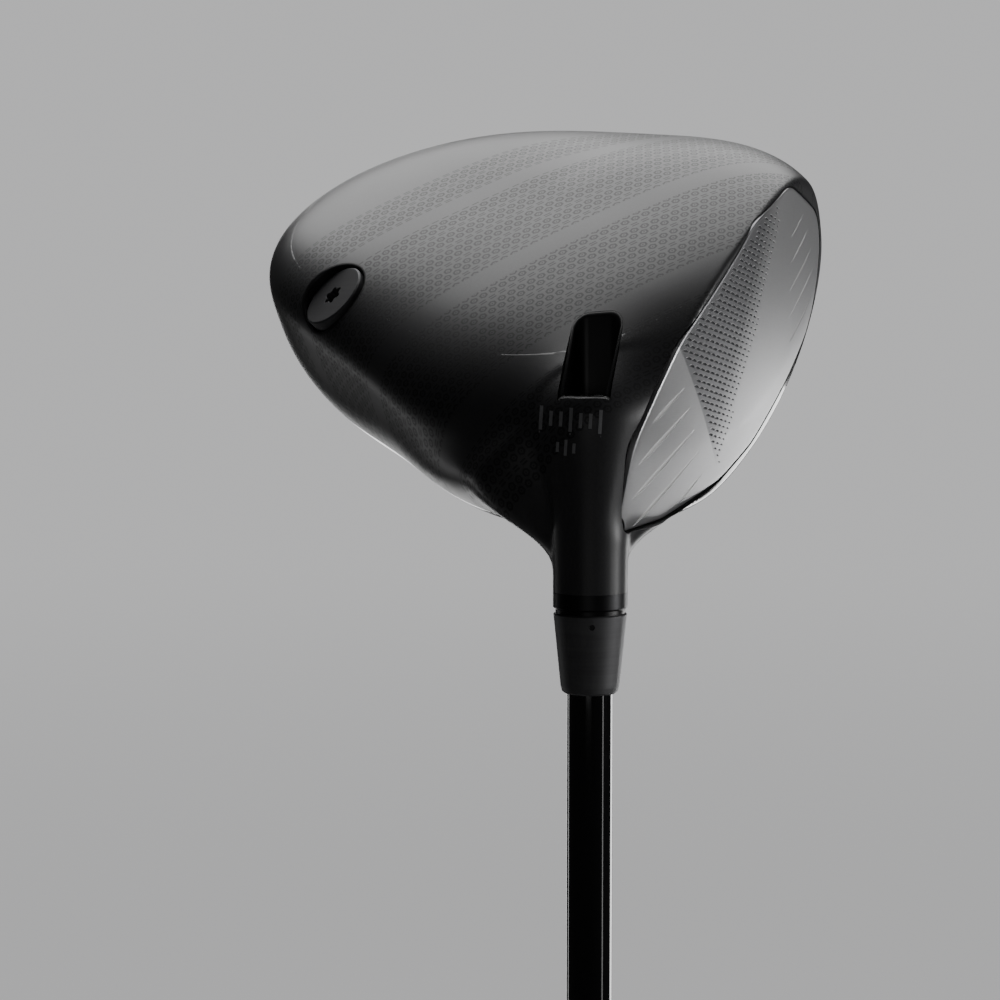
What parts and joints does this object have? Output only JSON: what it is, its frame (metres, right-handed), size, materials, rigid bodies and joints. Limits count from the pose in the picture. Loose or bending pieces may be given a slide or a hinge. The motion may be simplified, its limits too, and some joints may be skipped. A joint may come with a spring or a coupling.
{
  "type": "golf driver",
  "caption": "Adjustable golf driver with hollow head, screwed rear weight, removable adapter hosel, shaft and rubber grip.",
  "frame": {"origin": "centre of the grip's butt end face, on the shaft axis", "axes": "+Z along the shaft from the grip to the head, +X the target direction that the face looks at, +Y completes the right-handed set and points to the toe side"},
  "size_m": [0.1163, 0.1246, 1.1958],
  "materials": {
    "body_satin_black": "satin dark coating with a tone-on-tone pattern",
    "crown_gloss_black": "gloss black lacquer",
    "adhesive": "cured epoxy",
    "sole_satin_grey": "satin dark grey with a tone-on-tone pattern",
    "face_brushed": "fine brushed satin titanium",
    "weld_metal": "weld seam",
    "hosel_satin_metal": "satin dark metal",
    "black_rubber": "plain",
    "screw_steel": "black oxide steel",
    "weight_steel": "fine turned satin steel",
    "damping_polymer": "hot-melt polymer",
    "adapter_aluminium": "anodised",
    "gap_ring_plastic": "matte black",
    "ferrule_satin": "satin grey-black",
    "dot_paint": "paint",
    "shaft_gloss_black": "gloss black over carbon fibre",
    "plug_brass": "plain",
    "tape_paper": "double-sided grip tape",
    "grip_rubber": "matte with tread",
    "grip_cap_rubber": "matte"
  },
  "bodies": {
    "shaft_assembly": {"shaft": "shaft_gloss_black", "shaft_plug": "plug_brass", "shaft_bond": "adhesive", "adapter_sleeve": "adapter_aluminium", "hosel_ring": "gap_ring_plastic", "ferrule": "ferrule_satin", "ferrule_dot": "dot_paint", "grip_tape": "tape_paper", "grip": "grip_rubber", "grip_cap": "grip_cap_rubber"},
    "head": {"head_body": "body_satin_black", "crown_shell": "crown_gloss_black", "crown_bond": "adhesive", "sole_shell": "sole_satin_grey", "sole_bond": "adhesive", "face_plate": "face_brushed", "face_weld": "weld_metal", "hosel_tube": "hosel_satin_metal", "screw_well": "body_satin_black", "screw_washer": "black_rubber", "weight_port": "body_satin_black", "damping_pad": "damping_polymer"},
    "hosel_screw": {"hosel_screw": "screw_steel"},
    "weight_seal": {"weight_seal": "black_rubber"},
    "rear_weight": {"rear_weight": "weight_steel"}
  },
  "joints": [
    {"name": "head_release", "type": "slide", "parent": "shaft_assembly", "child": "head", "axis": [0, 0, 1], "range_m": [0, 0.008]},
    {"name": "hosel_screw_turn", "type": "hinge", "parent": "head", "child": "hosel_screw", "pos_m": [0, 0, 1.1391], "axis": [0, 0, 1], "range_deg": [-0.01, 3600.01]},
    {"name": "weight_lift", "type": "slide", "parent": "head", "child": "weight_seal", "axis": [-0.3249, -0.7178, 0.6158], "range_m": [0, 0.008]},
    {"name": "weight_turn", "type": "hinge", "parent": "weight_seal", "child": "rear_weight", "pos_m": [-0.0658, 0.01456, 1.15938], "axis": [-0.3249, -0.7178, 0.6158], "range_deg": [-0.01, 2880.01]}
  ],
  "couplings": [
    {"joint": "hosel_screw_turn", "follows": "head_release", "rad_per_m": 7854},
    {"joint": "weight_turn", "follows": "weight_lift", "rad_per_m": 6283.2}
  ]
}
